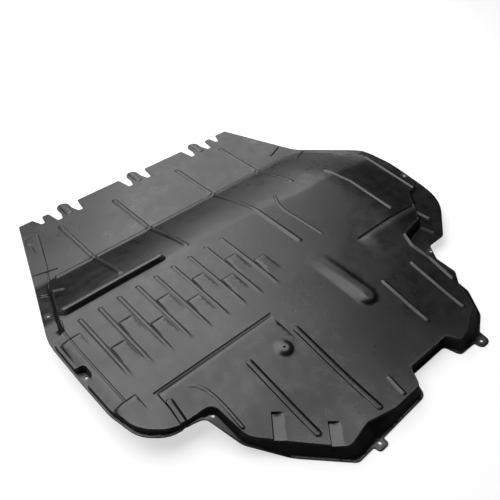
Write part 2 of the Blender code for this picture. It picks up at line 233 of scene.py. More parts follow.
class FinishSettings(bpy.types.PropertyGroup):
    color: colour("Plastic", "Colour of the black moulded plastic", (0.0045, 0.0042, 0.0046, 1.0))
    # Lighter colour of the crests: wear, and a painted highlight along them.
    crest_wear_and_highlight_color: colour(
        "Rubbed plastic", "Colour of the plastic where its crests are rubbed", (0.05, 0.049, 0.05, 1.0))
    roughness: number(
        "Roughness", "Mean roughness of the satin surface", 0.32, 0.0, 1.0, subtype="FACTOR")
    grain_scale: number(
        "Grain scale", "Number of grains of the moulded texture in a metre", 900.0, 50.0, 4000.0)
    grain_depth: metres("Grain depth", "Depth of the moulded grain", 0.00012, 0.0, 0.001)


class StageSettings(bpy.types.PropertyGroup):
    floor_color: colour("Floor", "Colour of the pale floor", (0.4, 0.4, 0.4, 1.0))
    floor_glow: number(
        "Floor glow", "Share of the floor's colour that other surfaces mirror", 0.22, 0.0, 1.0,
        subtype="FACTOR")
    floor_lift: number("Floor lift", "Light added to the floor in the camera's own view", 0.62, 0.0, 1.0)
    key_power: number(
        "Key light", "Power of the large soft light over the part", 128.0, 0.0, 1000.0, unit="POWER")
    back_power: number(
        "Back light", "Power of the tall soft light behind the part", 30.0, 0.0, 1000.0, unit="POWER")
    room_light: number("Room light", "Strength of the even light from all around", 0.02, 0.0, 2.0)


def smooth(t):
    t = np.clip(t, 0, 1)
    return t * t * (3 - 2 * t)


def eased(t, ends):
    """From 0 to 1 at an even slope, rounded over this share of the way at both ends."""
    t = np.clip(t, 0, 1)
    even = 1 / (1 - ends)
    early = even * t * t / (2 * ends)
    late = 1 - even * (1 - t) ** 2 / (2 * ends)
    return np.where(t < ends, early, np.where(t > 1 - ends, late, even * (t - ends / 2)))


def spread(first, last, count):
    """Evenly spaced numbers from the first to the last."""
    return [first + (last - first) * k / (count - 1) for k in range(count)]


def rounded(corners):
    """A closed polygon of (x, y, radius) corners, with an arc at each corner that has a radius."""
    path = []
    count = len(corners)
    for i, (x, y, radius) in enumerate(corners):
        here = Vector((x, y))
        if radius <= 0:
            path.append(here)
            continue
        back = Vector(corners[i - 1][:2]) - here
        ahead = Vector(corners[(i + 1) % count][:2]) - here
        turn = math.pi - back.angle(ahead)
        reach = min(radius * math.tan(turn / 2), 0.48 * back.length, 0.48 * ahead.length)
        radius = reach / math.tan(turn / 2)
        middle = (back.normalized() + ahead.normalized()).normalized()
        centre = here + middle * math.hypot(radius, reach)
        start = here + back.normalized() * reach - centre
        steps = max(1, math.ceil(turn / ARC_STEP))
        way = math.copysign(turn, ahead.x * back.y - ahead.y * back.x)
        for k in range(steps + 1):
            cos, sin = math.cos(way * k / steps), math.sin(way * k / steps)
            path.append(centre + Vector((start.x * cos - start.y * sin, start.x * sin + start.y * cos)))
    return path


def circle(centre, radius, count=32):
    turns = [math.tau * k / count for k in range(count)]
    return [Vector((centre[0] + radius * math.cos(t), centre[1] + radius * math.sin(t))) for t in turns]


def divided(line, closed, spacing):
    """The same line with points added at this spacing."""
    fine = []
    ends = line[1:] + line[:1] if closed else line[1:]
    for start, end in zip(line, ends):
        parts = max(1, math.ceil((end - start).length / spacing))
        fine += [start.lerp(end, k / parts) for k in range(parts)]
    return fine if closed else fine + [line[-1]]


def closed_runs(line):
    """The (start, run) of each side of a closed line."""
    starts = np.array([tuple(p) for p in line])
    return zip(starts, np.roll(starts, -1, axis=0) - starts)


def gap_to(line, places):
    """How far each place is from a closed line."""
    best = np.full(len(places), 1e9)
    for start, run in closed_runs(line):
        away = places - start
        along = np.clip(away @ run / (run @ run), 0, 1)
        best = np.minimum(best, np.hypot(*(away - along[:, None] * run).T))
    return best


def inside(line, places):
    """Whether each place lies inside a closed line."""
    found = np.zeros(len(places), bool)
    x, y = places.T
    for start, run in closed_runs(line):
        spans = (start[1] > y) != (start[1] + run[1] > y)
        if run[1]:
            found ^= spans & (x < start[0] + run[0] * (y - start[1]) / run[1])
    return found


def beside(line, distance):
    """The points at this distance to the left of a closed line."""
    found = []
    for i, p in enumerate(line):
        run = (line[(i + 1) % len(line)] - line[i - 1]).normalized()
        found.append(p + Vector((-run.y, run.x)) * distance)
    return found


def pieces_of(line, kept):
    """The open stretches of a line whose points are kept."""
    stretches = [[]]
    for p, good in zip(line, kept):
        if good:
            stretches[-1].append(p)
        else:
            stretches.append([])
    return [stretch for stretch in stretches if len(stretch) > 1]


def front_half():
    """Corners of half the front edge, from its middle line outwards, as offsets from that line."""
    tip = FRONT_EDGE + TONGUE_REACH
    low = FRONT_EDGE - SLOT_DEPTH
    root = low + SLOT_DEPTH / 2
    half = TONGUE_WIDTH / 2
    slant = (SLOT_WIDTH - SLOT_FLOOR) / 2
    side = TONGUE_PITCH
    tab = side + half + SLOT_WIDTH
    end_slot = tab + TAB_WIDTH

    def slot(start, way):
        """A slot from the side of a tongue, towards +X or -X."""
        floor = [(start + way * x, low, 4) for x in (slant, slant + SLOT_FLOOR)]
        return [(start, root, 0), *floor, (start + way * SLOT_WIDTH, FRONT_EDGE, 3)]

    return [
        (half, tip, half),
        *slot(half, 1),
        *reversed(slot(side - half, -1)),
        (side - half, tip, half),
        (side + half, tip, half),
        *slot(side + half, 1)[:-1],
        (tab, FRONT_EDGE - 2, 4),
        (end_slot, FRONT_EDGE - 2, 4),
        (end_slot + 5, FRONT_EDGE - TAB_SLOT_DEPTH, 4),
        (end_slot + 15, FRONT_EDGE - TAB_SLOT_DEPTH, 4),
        (end_slot + TAB_SLOT, FRONT_EDGE, 3),
        (end_slot + TAB_SLOT + CORNER_WIDTH, FRONT_EDGE, 4),
    ]


def outline():
    """The trimmed edge, clockwise seen from above, from the middle of the front edge."""
    half = front_half()
    right_half = [(FRONT_MIDDLE + x, y, r) for x, y, r in half]
    left_half = [(FRONT_MIDDLE - x, y, r) for x, y, r in reversed(half)]
    right_side = [
        (388, RIDGE_Y + 18, 70),
        (RIGHT_EDGE - 4, 112, 130),
        (RIGHT_EDGE, 20, 150),
        (488, -172, 120),
        (380, -258, 20),
        (325, -258, 14),
        (300, -296, 12),
        (299, -350, 14),
        (277, -374, 8),
        (276, -402, 20),
        (243, -458, 30),
        (200, -484, 5),
    ]
    ear = EAR_RADIUS
    x, y = RIGHT_EAR
    right_ear = [(x + ear + 2, y - ear, ear), (x - ear, y - ear, ear), (x - ear - 4, y + 6, 4)]
    cut_out = [(118, -492, 12), (108, -457, 12), (0, -457, 6), (-20, REAR_EDGE + 5, 18)]
    x, y = LEFT_EAR
    left_ear = [
        (x + ear, REAR_EDGE + 1, 3),
        (x + ear, y - ear, ear),
        (x - ear, y - ear, ear),
        (x - ear - 2, REAR_EDGE, 4),
    ]
    left_side = [
        (-224, REAR_EDGE - 1, 18),
        (-300, -430, 80),
        (-364, -352, 40),
        (-386, -274, 18),
        (-412, -268, 30),
        (-456, -264, 70),
        (-500, -226, 70),
        (-514, -155, 100),
        (LEFT_EDGE, -50, 60),
        (LEFT_EDGE, 73, 150),
    ]
    return rounded(right_half + right_side + right_ear + cut_out + left_ear + left_side + left_half)


def shoulder():
    """The upper edge of the side walls, clockwise seen from above, from the left end of the ridge."""
    inset = LEFT_EDGE + WALL_INSET
    boss_near = BOSS[1] - BOSS_HALF_WIDTH
    boss_far = BOSS[1] + BOSS_HALF_WIDTH
    ahead = [(-416, RIDGE_Y + RIDGE_MARGIN, 0), (348, RIDGE_Y + RIDGE_MARGIN, 0)]
    right = [
        (388, 226, 30),
        (RIGHT_EDGE - 28, 92, 30),
        (RIGHT_EDGE - 44, -100, 6),
        (438, -104, 10),
        (352, -196, 16),
        (276, -212, 14),
        (262, -246, 20),
        (264, -300, 20),
        (256, -372, 30),
        (225, -440, 30),
    ]
    rear = [
        (160, -472, 12),
        (128, -478, 10),
        (113, -451, 10),
        (-6, -451, 8),
        (-27, REAR_EDGE + 19, 18),
        (-105, REAR_EDGE + 19, 40),
        (-166, -474, 30),
        (-226, REAR_EDGE + 22, 22),
    ]
    left = [
        (-352, -354, 40),
        (-360, -266, 22),
        (-446, -262, 70),
        (-493, -224, 70),
        (-509, -155, 70),
        (inset, boss_near, 3),
        (inset + BOSS_DEPTH, boss_near + 8, 12),
        (inset + BOSS_DEPTH, boss_far - 8, 12),
        (inset, boss_far, 3),
        (inset, 50, 6),
        (-480, 60, 5),
        (-473, 92, 30),
        (-437, 200, 60),
    ]
    return rounded(ahead + right + rear + left)


def panel(places):
    """Height of the broad surface: front panel, rise, plateau, fall to the rear, and its soft sides."""
    x, y = places.T
    front = RIM + (RIDGE_HEIGHT - RIM) * np.clip((FRONT_EDGE - y) / (FRONT_EDGE - RIDGE_Y), 0, 1)
    rise = RISE_LEFT + (RISE_RIGHT - RISE_LEFT) * smooth((x - FRONT_MIDDLE) / RIGHT_CREASE)
    left = np.clip(1 - (RIDGE_Y - y) / rise, 0, 1)
    height = PLATEAU - (PLATEAU - RIDGE_HEIGHT) * left ** RISE_POWER
    height -= (PLATEAU - REAR_FLOOR) * smooth((PLATEAU_REAR - y) / REAR_FALL)
    share = np.clip((height - RIDGE_HEIGHT) / (PLATEAU - RIDGE_HEIGHT - SIDE_FALL_MARGIN), 0, 1)
    height -= share * RIGHT_FALL * smooth((x - RIGHT_CREASE) / RIGHT_FALL_RUN)
    height -= share * LEFT_FALL * smooth((LEFT_CREASE - x) / (LEFT_CREASE - LEFT_EDGE))
    return np.where(y >= RIDGE_Y, front, height)


def rim(places):
    """Height of the flange and of the trimmed edge outside the walls."""
    x, y = places.T
    left = [(-420, RIM), (-345, 28), (-280, FLANGE_LEFT - 4), (-200, FLANGE_LEFT), (60, FLANGE_LEFT - 2)]
    left += [(120, FLANGE_LEFT - 6), (RIDGE_Y, RIDGE_HEIGHT)]
    right = [(-470, RIM), (-412, 14), (-343, 24), (-256, 28), (-100, FLANGE_RIGHT - 2)]
    right += [(-20, FLANGE_RIGHT), (110, FLANGE_RIGHT - 2), (RIDGE_Y, RIDGE_HEIGHT)]
    flange = np.where(x < 0, np.interp(y, *zip(*left)), np.interp(y, *zip(*right)))
    return np.where(y >= RIDGE_Y, panel(places), flange)


class Bead:
    """A raised line along a path, with round ends: its foot is wider than its crown."""

    def __init__(self, path, width, height, crown=0.35, start_height=None):
        self.path = [Vector(p) for p in path]
        self.foot = width / 2
        self.crown = self.foot * crown
        self.heights = (height if start_height is None else start_height, height)

    def add(self, places):
        best = np.full(len(places), 1e9)
        share = np.zeros(len(places))
        lengths = [(b - a).length for a, b in zip(self.path, self.path[1:])]
        before = 0.0
        for a, b, length in zip(self.path, self.path[1:], lengths):
            start, run = np.array(a), np.array(b - a)
            along = np.clip((places - start) @ run / (run @ run), 0, 1)
            gap = np.hypot(*(places - start - along[:, None] * run).T)
            share = np.where(gap < best, (before + along * length) / sum(lengths), share)
            best = np.minimum(best, gap)
            before += length
        height = self.heights[0] + (self.heights[1] - self.heights[0]) * share
        return height * eased((self.foot - best) / (self.foot - self.crown), BEAD_ROUND)

    def around(self, radius):
        """The closed line at this distance from the path."""
        near, far = [], []
        last = len(self.path) - 1
        for i, p in enumerate(self.path):
            run = (self.path[min(i + 1, last)] - self.path[max(i - 1, 0)]).normalized()
            across = Vector((-run.y, run.x)) * radius
            near.append(p + across)
            far.append(p - across)
        caps = []
        for end, before in ((self.path[-1], self.path[-2]), (self.path[0], self.path[1])):
            way = end - before
            middle = math.atan2(way.y, way.x)
            turns = [middle + math.pi * (0.5 - k / CAP_STEPS) for k in range(1, CAP_STEPS)]
            caps.append([end + Vector((math.cos(t), math.sin(t))) * radius for t in turns])
        return near + caps[0] + far[::-1] + caps[1]

    def loops(self):
        steps = 5 if self.foot < WIDE_FOOT else 9
        return [self.around(radius) for radius in [self.foot + GUARD] + spread(self.foot, self.crown, steps)]


class Dome:
    """A round raised seat."""

    def __init__(self, centre, radius, height, crown):
        self.centre, self.radius, self.height, self.crown = centre, radius, height, crown * radius

    def add(self, places):
        gap = np.hypot(*(places - np.array(self.centre)).T)
        return self.height * smooth((self.radius - gap) / (self.radius - self.crown))

    def loops(self):
        return [circle(self.centre, radius) for radius in spread(self.radius, self.crown, 7)]


class Land:
    """A land whose front edge stands up from the panel and which fades out towards the rear."""

    def __init__(self, left, right, front, rise, fade, flank=7.0, side=2.0, left_side=None):
        self.left, self.right, self.front = left, right, front
        self.rise, self.fade, self.flank, self.side = rise, fade, flank, side
        self.left_side = left_side or side

    def add(self, places):
        x, y = places.T
        from_side = np.minimum((x - self.left) / self.left_side, (self.right - x) / self.side)
        edge = eased(np.minimum(from_side, (self.front - y) / self.flank), LAND_ROUND)
        return self.rise * edge * np.clip(1 - (self.front - y) / self.fade, 0, 1) ** 2

    def loops(self):
        found = []
        for share in (-GUARD / self.flank, 0.0, 0.2, 0.5, 0.8, 1.0):
            left, right = self.left + self.left_side * share, self.right - self.side * share
            front, rear = self.front - self.flank * share, self.front - self.fade + self.side * share
            found.append([Vector(p) for p in ((left, front), (right, front), (right, rear), (left, rear))])
        return found


class Drop(Bead):
    """A straight raised form whose flanks differ: to the left, to the right and at the rear end."""

    def __init__(self, path, width, start_height, height, left, right, rear):
        super().__init__(path, width, height, crown=0.2, start_height=start_height)
        self.flanks = left, right, rear

    def add(self, places):
        start, end = (np.array(self.path[k]) for k in (0, -1))
        run = end - start
        share = np.clip((places - start) @ run / (run @ run), 0, 1)
        away = places - start - share[:, None] * run
        gap = np.hypot(*away.T)
        across, along = away.T / np.maximum(gap, 1e-6)
        side = np.where(across < 0, self.flanks[0], self.flanks[1])
        end_flank = np.where(along < 0, self.flanks[2], self.flanks[1])
        flank = side * across ** 2 + end_flank * (1 - across ** 2)
        height = self.heights[0] + (self.heights[1] - self.heights[0]) * share
        return height * eased((self.foot - gap) / flank, DROP_ROUND)

    def loops(self):
        return [self.around(radius) for radius in spread(self.foot + GUARD, self.crown, 10)]


class Pocket:
    """A sunk notch that opens through a wall. Looking outwards from its inner end, its floor is
    deepest on the right and meets the sheet on the left."""

    def __init__(self, inner, outer, width, depth, flank=2.5):
        self.inner = np.array(inner, float)
        run = np.array(outer) - self.inner
        self.length = math.hypot(*run)
        self.way = run / self.length
        self.half, self.depth, self.flank = width / 2, depth, flank

    def add(self, places):
        away = places - self.inner
        along, across = away @ self.way, away @ (-self.way[1], self.way[0])
        gap = np.minimum(np.minimum(self.half + across, along), self.length - along)
        floor = np.clip((self.half - across) / (2 * self.half), 0, 1)
        return -self.depth * floor * eased(gap / self.flank, DROP_ROUND)

    def loops(self):
        found = []
        side = np.array((-self.way[1], self.way[0]))
        for share in (-GUARD / self.flank, 0.0, 0.33, 0.67, 1.0):
            reach, half = self.flank * share, self.half - self.flank * share
            near, far = self.inner + self.way * reach, self.inner + self.way * (self.length - reach)
            across = side * half
            found.append([Vector(p) for p in (near - across, near + across, far + across, far - across)])
        return found


def drawn_forms(sheet):
    """Every form that doesn't repeat in a row."""
    width, height = sheet.bead_width / MM, sheet.bead_height / MM
    long_beads = []
    for offset, rear in LONG_BEADS.items():
        x = FRONT_MIDDLE + offset
        path = [(x, LONG_BEAD_FRONT), (x, RIDGE_Y), (x, rear)]
        long_beads.append(Bead(path, sheet.long_bead_width / MM, height, crown=sheet.crown))
    across = [
        Bead([(-398, RIDGE_Y), (346, RIDGE_Y)], 12, 2.0, crown=0.2, start_height=3.5),
        Bead([(-452, 108), (-212, 108)], 32, 12, crown=0.3),
        Land(-429, -139, -186, 5.0, 90, flank=8.0),
        Land(172, 390, -155, 6.0, 80, flank=6.5, left_side=36.0),
        Land(-506, -458, -160, 4.0, 60),
        Land(-506, -460, 36, 4.0, 70),
    ]
    for step in (-TONGUE_PITCH, 0, TONGUE_PITCH):
        x = FRONT_MIDDLE + step
        across.append(Bead([(x, 464), (x, 503)], 19, 2.2, crown=0.7))
    rear = [
        Drop([(-250, -245), (-251, -430)], 16, 3.2, 2.2, *REAR_FLANKS),
        Drop([(-122, -245), (-124, -468)], 16, 3.2, 2.2, *REAR_FLANKS),
        Drop([(-420, -216), (-424, -262)], 16, 3.2, 3.2, *REAR_FLANKS),
        Bead([(-376, -210), (-362, -220), (-353, -239), (-349, -264), (-348, -292), (-349, -336)],
             9, 2.5, start_height=0.3),
        Drop([(52, -136), (58, -272)], 56, 0.5, 8.0, 26, 14, 6),
        Bead([(148, 104), (130, 75), (123, 40), (126, -10), (128, -80)], 9, 1.2),
        Bead([(332, 99), (345, 16), (332, -126)], width, height),
        Bead([(217, -282), (209, -428)], 12, 2.8, crown=0.2),
        Bead([(121, -276), (116, -402)], 12, 2.8, crown=0.2),
        Bead([(-60, -440), (-66, -480)], 11, 2.6, crown=0.2),
        Bead([(276, -216), (263, -246), (266, -298), (258, -366)], 13, 4.0, crown=0.2),
        Pocket((-279, -353), (-315, -398), 24, 6),
        Pocket((-211, -433), (-244, -473), 24, 6),
        Bead([(180, -151), (392, -151)], 7, -2.5, crown=0.1),
        Bead([(-431, -183), (-137, -183)], 6, -1.6, crown=0.1),
        Dome(DOME, 21, 4.2, crown=0.4),
    ]
    flange = [
        Bead([(-434, 303), (-384, 290)], 8, 3.0, crown=0.2),
        Bead([(-457, 224), (-415, 194)], 8, 3.0, crown=0.2),
        Bead([(-358, 438), (-400, 310), (-435, 222)], 6, -1.4),
        Bead([(-473, 88), (-483, 56), (-484, 1), (-481, -161)], 6, -1.4),
        Bead([(362, 315), (318, 298)], 8, 2.5),
        Bead([(352, 227), (401, 249)], 8, 2.5),
        Bead([(RIGHT_EDGE - 30, 84), (RIGHT_EDGE - 47, -98)], 10, 3.0, crown=0.2),
        Bead([(396, -152), (403, -198)], 10, 3.0, crown=0.2),
        Bead([(354, -197), (369, -238)], 10, 3.0, crown=0.2),
        Bead([(-370, 444), (-394, 438), (-402, 418), (-392, 402), (-396, 378)], 6, -1.6),
    ]
    return long_beads + across + rear + flange


def row_lines(sheet, comb):
    """The lines along which the mesh has points for the beads and lands that repeat in a row."""
    found = []
    side = sheet.bead_width / MM / 2
    pitch = comb.pitch / MM
    for i in range(comb.count):
        x = comb.first / MM + pitch * i
        found += Bead([(x, comb.front / MM), (x, comb.rear / MM)], 2 * side, 1, crown=sheet.crown).loops()
        front = (comb.near_land if i % 2 else comb.far_land) / MM
        land = Land(x + side, x + pitch - side, front, 1, comb.fade / MM, comb.flank / MM, comb.side / MM)
        found += land.loops()
    return found


def holes():
    """The edge of each fastener hole."""
    places = [(-478, 147), BOSS, (-372, -280), (335, 392), (RIGHT_EDGE - 18, -48), (310, -272)]
    found = [circle(centre, HOLE_RADIUS, HOLE_STEPS) for centre in places + [LEFT_EAR, RIGHT_EAR]]
    return found + [circle(DOME, DOME_HOLE_RADIUS, HOLE_STEPS)]


class Surface:
    """The upper face of the shield, apart from the forms that repeat in a row."""

    def __init__(self, sheet, comb):
        self.sheet = sheet
        self.edge = outline()
        self.top = shoulder()
        self.forms = drawn_forms(sheet)
        self.rows = row_lines(sheet, comb)
        self.holes = holes()

    def broad(self, places):
        """Height of the panel, its walls and its flange, without beads or lands."""
        base = panel(places)
        away = gap_to(self.top, places)
        x, y = places.T
        rearwards = smooth((REAR_WALL_START - y) / REAR_WALL_EASE)
        longest = WALL_RUN + (REAR_WALL_RUN - WALL_RUN) * rearwards
        longest = np.where(x < LEFT_EDGE + LEFT_WALL_BAND, LEFT_WALL_RUN, longest)
        run = np.minimum(longest, away + gap_to(self.edge, places) - LIP)
        walled = (y < RIDGE_Y + RIDGE_MARGIN) & ~inside(self.top, places)
        down = eased(away / np.maximum(run, 1), WALL_ROUND)
        return base + np.where(walled, (rim(places) - base) * down, 0)

    def height(self, places):
        """Height of the upper face with its drawn forms, its rounded edge and its waviness."""
        found = self.broad(places) + sum(form.add(places) for form in self.forms)
        reach = self.sheet.edge_round / MM
        near = gap_to(self.edge, places)
        found -= EDGE_SINK * reach * np.clip(1 - near / reach, 0, 1) ** 2
        wave = self.sheet.waviness / MM
        ease = smooth((near - WAVE_MARGIN) / WAVE_EASE)
        spots = [Vector((x / WAVE_LENGTH, y / WAVE_LENGTH, WAVE_LAYER)) for x, y in places]
        return found + wave * ease * np.array([noise.noise(spot) for spot in spots])

    def drop(self, places):
        """How far below the upper face the lower one lies, so that the wall keeps its thickness."""
        slope = np.zeros(len(places))
        for step in (np.array((1.0, 0.0)), np.array((0.0, 1.0))):
            slope += ((self.broad(places + step) - self.broad(places - step)) / 2) ** 2
        return self.sheet.wall / MM * np.minimum(np.sqrt(1 + slope), DEEPEST_WALL)

    def walls(self):
        """Open lines that follow the walls, at shares of their run."""
        found = []
        for share in WALL_SHARES:
            line = beside(self.top, WALL_RUN * share)
            places = np.array([tuple(p) for p in line])
            clear = inside(self.edge, places) & (gap_to(self.edge, places) > LINE_CLEARANCE)
            clear &= places[:, 1] < RIDGE_Y
            clear &= gap_to(self.top, places) > WALL_RUN * share - 0.3
            found += pieces_of(line, clear)
        return found

    def edge_lines(self):
        """Closed lines just inside the trimmed edge, for its rounding and for the lip outside the walls."""
        reach = self.sheet.edge_round / MM
        distances = (0.35 * reach, 0.7 * reach, reach, LIP, LIP + LINE_CLEARANCE)
        return [beside(self.edge, -distance) for distance in distances]

    def closed_lines(self):
        lines = [self.edge, self.top, beside(self.top, -GUARD)] + self.holes + self.rows
        return lines + [loop for form in self.forms for loop in form.loops()]

    def grid(self, taken, spacing):
        """Points over the whole plan, where no line is near."""
        near = kdtree.KDTree(len(taken))
        for i, p in enumerate(taken):
            near.insert(p.to_3d(), i)
        near.balance()
        columns = np.arange(LEFT_EDGE + spacing / 2, RIGHT_EDGE, spacing)
        rows = np.arange(REAR_EDGE + spacing / 2, FRONT_EDGE, spacing * GRID_ROWS)
        places = np.array([(x + (k % 2) * spacing / 2, y) for k, y in enumerate(rows) for x in columns])
        places = places[inside(self.edge, places)]
        places = places[gap_to(self.edge, places) > EDGE_CLEARANCE]
        return [Vector(p) for p in places if near.find((p[0], p[1], 0))[2] > spacing * GRID_CLEARANCE]


def plan_mesh(surface):
    """Points and triangles of the plan, cut along every line that the shape needs."""
    spacing = surface.sheet.spacing / MM
    line_spacing = surface.sheet.line_spacing / MM
    points, edges = [], []
    lines = [(line, True) for line in surface.closed_lines()] + [(line, False) for line in surface.walls()]
    for line, closed in lines:
        line = divided(line, closed, line_spacing)
        first = len(points)
        points += line
        edges += [(first + i, first + i + 1) for i in range(len(line) - 1)]
        if closed:
            edges.append((first + len(line) - 1, first))
    for line in surface.edge_lines():
        points += divided(line, True, line_spacing)
    points += surface.grid(points, spacing)
    found, _, faces, *_ = delaunay_2d_cdt(points, edges, [], 0, MERGE_DISTANCE, False)
    places = np.array([tuple(p) for p in found])
    faces = np.array(faces)
    middles = places[faces].mean(axis=1)
    kept = inside(surface.edge, middles)
    for hole in surface.holes:
        kept &= ~inside(hole, middles)
    faces = faces[kept]
    used, index = np.unique(faces, return_inverse=True)
    places, faces = places[used], index.reshape(faces.shape)
    a, b, c = (places[faces[:, k]] for k in range(3))
    turned = (b - a)[:, 0] * (c - a)[:, 1] - (b - a)[:, 1] * (c - a)[:, 0] < 0
    faces[turned] = faces[turned][:, ::-1]
    return places, faces


def sheet_mesh(surface):
    """Both faces of the sheet and the narrow edge between them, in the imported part's frame."""
    places, faces = plan_mesh(surface)
    upper = surface.height(places)
    lowest = RIM - surface.sheet.wall / MM
    lower = np.maximum(upper - surface.drop(places), lowest - surface.sheet.edge_round / MM * FOOT_SINK)
    count = len(places)
    solid = np.vstack([np.column_stack([places, upper]), np.column_stack([places, lower])]) * MM
    runs = np.vstack([faces[:, [0, 1]], faces[:, [1, 2]], faces[:, [2, 0]]])
    names = runs[:, 0] * count + runs[:, 1]
    rim_runs = runs[~np.isin(names, runs[:, 1] * count + runs[:, 0])]
    sides = np.column_stack([rim_runs[:, 1], rim_runs[:, 0], rim_runs[:, 0] + count, rim_runs[:, 1] + count])
    low, high = (np.array(corner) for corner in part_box(NODE))
    ours = solid.min(0), solid.max(0)
    middle = (low + high) / 2 - (ours[0] + ours[1]) / 2
    solid += (middle[0], middle[1], low[2] - ours[0][2])
    mesh = bpy.data.meshes.new("moulded_sheet")
    mesh.from_pydata(solid.tolist(), [], faces.tolist() + (faces[:, ::-1] + count).tolist() + sides.tolist())
    mesh.shade_smooth()
    mesh.set_sharp_from_angle(angle=SHARP_ANGLE)
    return mesh, middle


def feed(tree, socket, value):
    """Gives a node's input a value, or a link where the value is a socket."""
    if isinstance(value, bpy.types.NodeSocket):
        tree.links.new(value, socket)
    else:
        socket.default_value = value


class Tree:
    """A Geometry Nodes tree for a row along X, with named inputs, that raises the points of a mesh."""

    def __init__(self, name, *labels):
        self.tree = bpy.data.node_groups.new(name, "GeometryNodeTree")
        sockets = self.tree.interface
        sockets.new_socket("Geometry", in_out="OUTPUT", socket_type="NodeSocketGeometry")
        sockets.new_socket("Geometry", in_out="INPUT", socket_type="NodeSocketGeometry")
        sockets.new_socket("Material", in_out="INPUT", socket_type="NodeSocketMaterial")
        for label in ("Count", "Pitch", "First", "Front", "Height", *labels):
            sockets.new_socket(label, in_out="INPUT", socket_type="NodeSocketFloat")
        self.start = self.tree.nodes.new("NodeGroupInput")
        place = self.add("ShaderNodeSeparateXYZ", self.add("GeometryNodeInputPosition").outputs[0])
        self.x, self.y = place.outputs[0], place.outputs[1]

    def add(self, kind, *values):
        node = self.tree.nodes.new(kind)
        for socket, value in zip(node.inputs, values):
            feed(self.tree, socket, value)
        return node

    def given(self, label):
        return self.start.outputs[label]

    def math(self, operation, *values, clamp=False):
        node = self.add("ShaderNodeMath", *values)
        node.operation = operation
        node.use_clamp = clamp
        return node.outputs[0]

    def offset_from_row(self):
        """Distance along X from the nearest place of the row."""
        from_first = self.math("SUBTRACT", self.x, self.given("First"))
        index = self.math("ROUND", self.math("DIVIDE", from_first, self.given("Pitch")))
        last = self.math("SUBTRACT", self.given("Count"), 1.0)
        index = self.math("MAXIMUM", self.math("MINIMUM", index, last), 0.0)
        return self.math("SUBTRACT", from_first, self.math("MULTIPLY", index, self.given("Pitch")))

    def eased(self, value):
        """A value between 0 and 1 that climbs evenly and is a little rounded at both ends."""
        even = self.add("ShaderNodeMapRange", value)
        curved = self.add("ShaderNodeMapRange", value)
        curved.interpolation_type = "SMOOTHSTEP"
        both = self.math("ADD", even.outputs["Result"], curved.outputs["Result"])
        return self.math("MULTIPLY", both, 0.5)

    def raise_by(self, height):
        """Ends the tree: the points are raised, instances are made real and the material is set."""
        offset = self.add("ShaderNodeCombineXYZ", 0.0, 0.0, height)
        moved = self.tree.nodes.new("GeometryNodeSetPosition")
        self.tree.links.new(self.given("Geometry"), moved.inputs["Geometry"])
        self.tree.links.new(offset.outputs[0], moved.inputs["Offset"])
        real = self.add("GeometryNodeRealizeInstances", moved.outputs[0])
        finished = self.tree.nodes.new("GeometryNodeSetMaterial")
        self.tree.links.new(real.outputs[0], finished.inputs["Geometry"])
        self.tree.links.new(self.given("Material"), finished.inputs["Material"])
        self.add("NodeGroupOutput", finished.outputs[0])
        return self.tree


def bead_row_tree():
    """Parallel beads with round ends, side by side along X."""
    tree = Tree("Bead row", "Rear", "Foot", "Crown", "Fade")
    past_front = tree.math("SUBTRACT", tree.y, tree.given("Front"))
    past_rear = tree.math("SUBTRACT", tree.given("Rear"), tree.y)
    past_end = tree.math("MAXIMUM", tree.math("MAXIMUM", past_front, past_rear), 0.0)
    across = tree.offset_from_row()
    squares = [tree.math("MULTIPLY", distance, distance) for distance in (across, past_end)]
    gap = tree.math("SQRT", tree.math("ADD", *squares))
    flank = tree.math("SUBTRACT", tree.given("Foot"), tree.given("Crown"))
    share = tree.math("DIVIDE", tree.math("SUBTRACT", tree.given("Foot"), gap), flank)
    from_rear = tree.math("SUBTRACT", tree.y, tree.given("Rear"))
    faded = tree.math("DIVIDE", from_rear, tree.given("Fade"), clamp=True)
    shape = tree.math("MULTIPLY", tree.eased(share), faded)
    return tree.raise_by(tree.math("MULTIPLY", shape, tree.given("Height")))


def land_row_tree():
    """Lands side by side along X, whose front edges stand up and which fade out to the rear."""
    tree = Tree("Land row", "Half Width", "Flank", "Side", "Fade")
    across = tree.math("ABSOLUTE", tree.offset_from_row())
    from_side = tree.math("SUBTRACT", tree.given("Half Width"), across)
    from_front = tree.math("SUBTRACT", tree.given("Front"), tree.y)
    up_side = tree.math("DIVIDE", from_side, tree.given("Side"))
    up_front = tree.math("DIVIDE", from_front, tree.given("Flank"))
    faded = tree.math("SUBTRACT", 1.0, tree.math("DIVIDE", from_front, tree.given("Fade")), clamp=True)
    shape = tree.math("MULTIPLY", tree.eased(tree.math("MINIMUM", up_side, up_front)), faded)
    return tree.raise_by(tree.math("MULTIPLY", shape, tree.given("Height")))


def add_row(piece, tree, **values):
    """Adds the tree as a modifier, with its inputs set by the identifiers of their sockets."""
    modifier = piece.modifiers.new(tree.name, "NODES")
    modifier.node_group = tree
    sockets = [item for item in tree.interface.items_tree if item.in_out == "INPUT"]
    identifiers = {item.name: item.identifier for item in sockets}
    for label, value in values.items():
        modifier[identifiers[label.replace("_", " ").title()]] = value


def made_plain(piece):
    """Turns the evaluated piece into a plain mesh and takes its modifiers away."""
    graph = bpy.context.evaluated_depsgraph_get()
    mesh = bpy.data.meshes.new_from_object(piece.evaluated_get(graph))
    piece.modifiers.clear()
    piece.data = mesh
    return mesh


def shader_node(tree, kind, **values):
    """A shader node whose inputs are given by name."""
    node = tree.nodes.new(kind)
    for label, value in values.items():
        feed(tree, node.inputs[label], value)
    return node


def mapped(tree, value, source, target):
    """A value carried from its source range to the target range."""
    node = shader_node(tree, "ShaderNodeMapRange", Value=value)
    for label, number in zip(("From Min", "From Max", "To Min", "To Max"), (*source, *target)):
        node.inputs[label].default_value = number
    return node.outputs["Result"]


